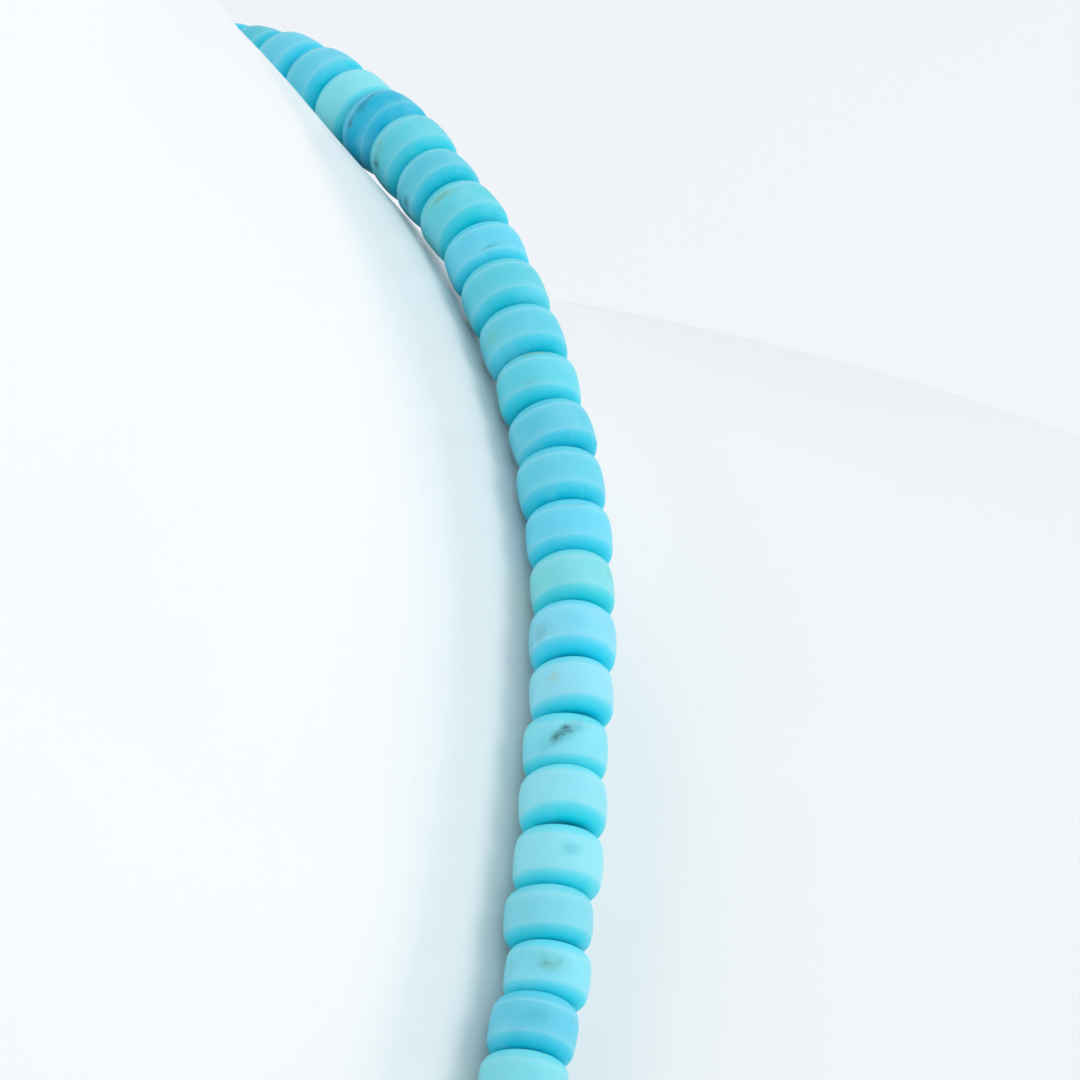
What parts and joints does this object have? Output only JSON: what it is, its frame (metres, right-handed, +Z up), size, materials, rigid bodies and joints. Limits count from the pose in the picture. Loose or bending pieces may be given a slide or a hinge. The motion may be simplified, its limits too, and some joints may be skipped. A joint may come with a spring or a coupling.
{
  "type": "beaded necklace on a neck bust",
  "caption": "Single strand of small drum-shaped stone beads, closed by a barrel clasp, worn round a plain glossy neck bust.",
  "frame": {"origin": "middle of the neck bust's width and depth, on its flat underside, where it meets the surface that it stands on", "axes": "+Z up along the neck, -Y to the front where the throat and the lowest beads are, +X to the wearer's left"},
  "size_m": [0.224, 0.146, 0.184],
  "materials": {
    "bead_stone": "satin polished turquoise stone with brown matrix specks",
    "clasp_metal": "polished silver-coloured metal",
    "bust_gloss": "smooth glossy white"
  },
  "bodies": {
    "root": {"neck_bust": "bust_gloss", "clasp": "clasp_metal", "bead_run_01": "bead_stone", "bead_run_02": "bead_stone", "bead_run_03": "bead_stone", "bead_run_04": "bead_stone", "bead_run_05": "bead_stone", "bead_run_06": "bead_stone", "bead_run_07": "bead_stone", "bead_run_08": "bead_stone", "bead_run_09": "bead_stone", "bead_run_10": "bead_stone", "bead_run_11": "bead_stone", "bead_run_12": "bead_stone"}
  },
  "joints": []
}
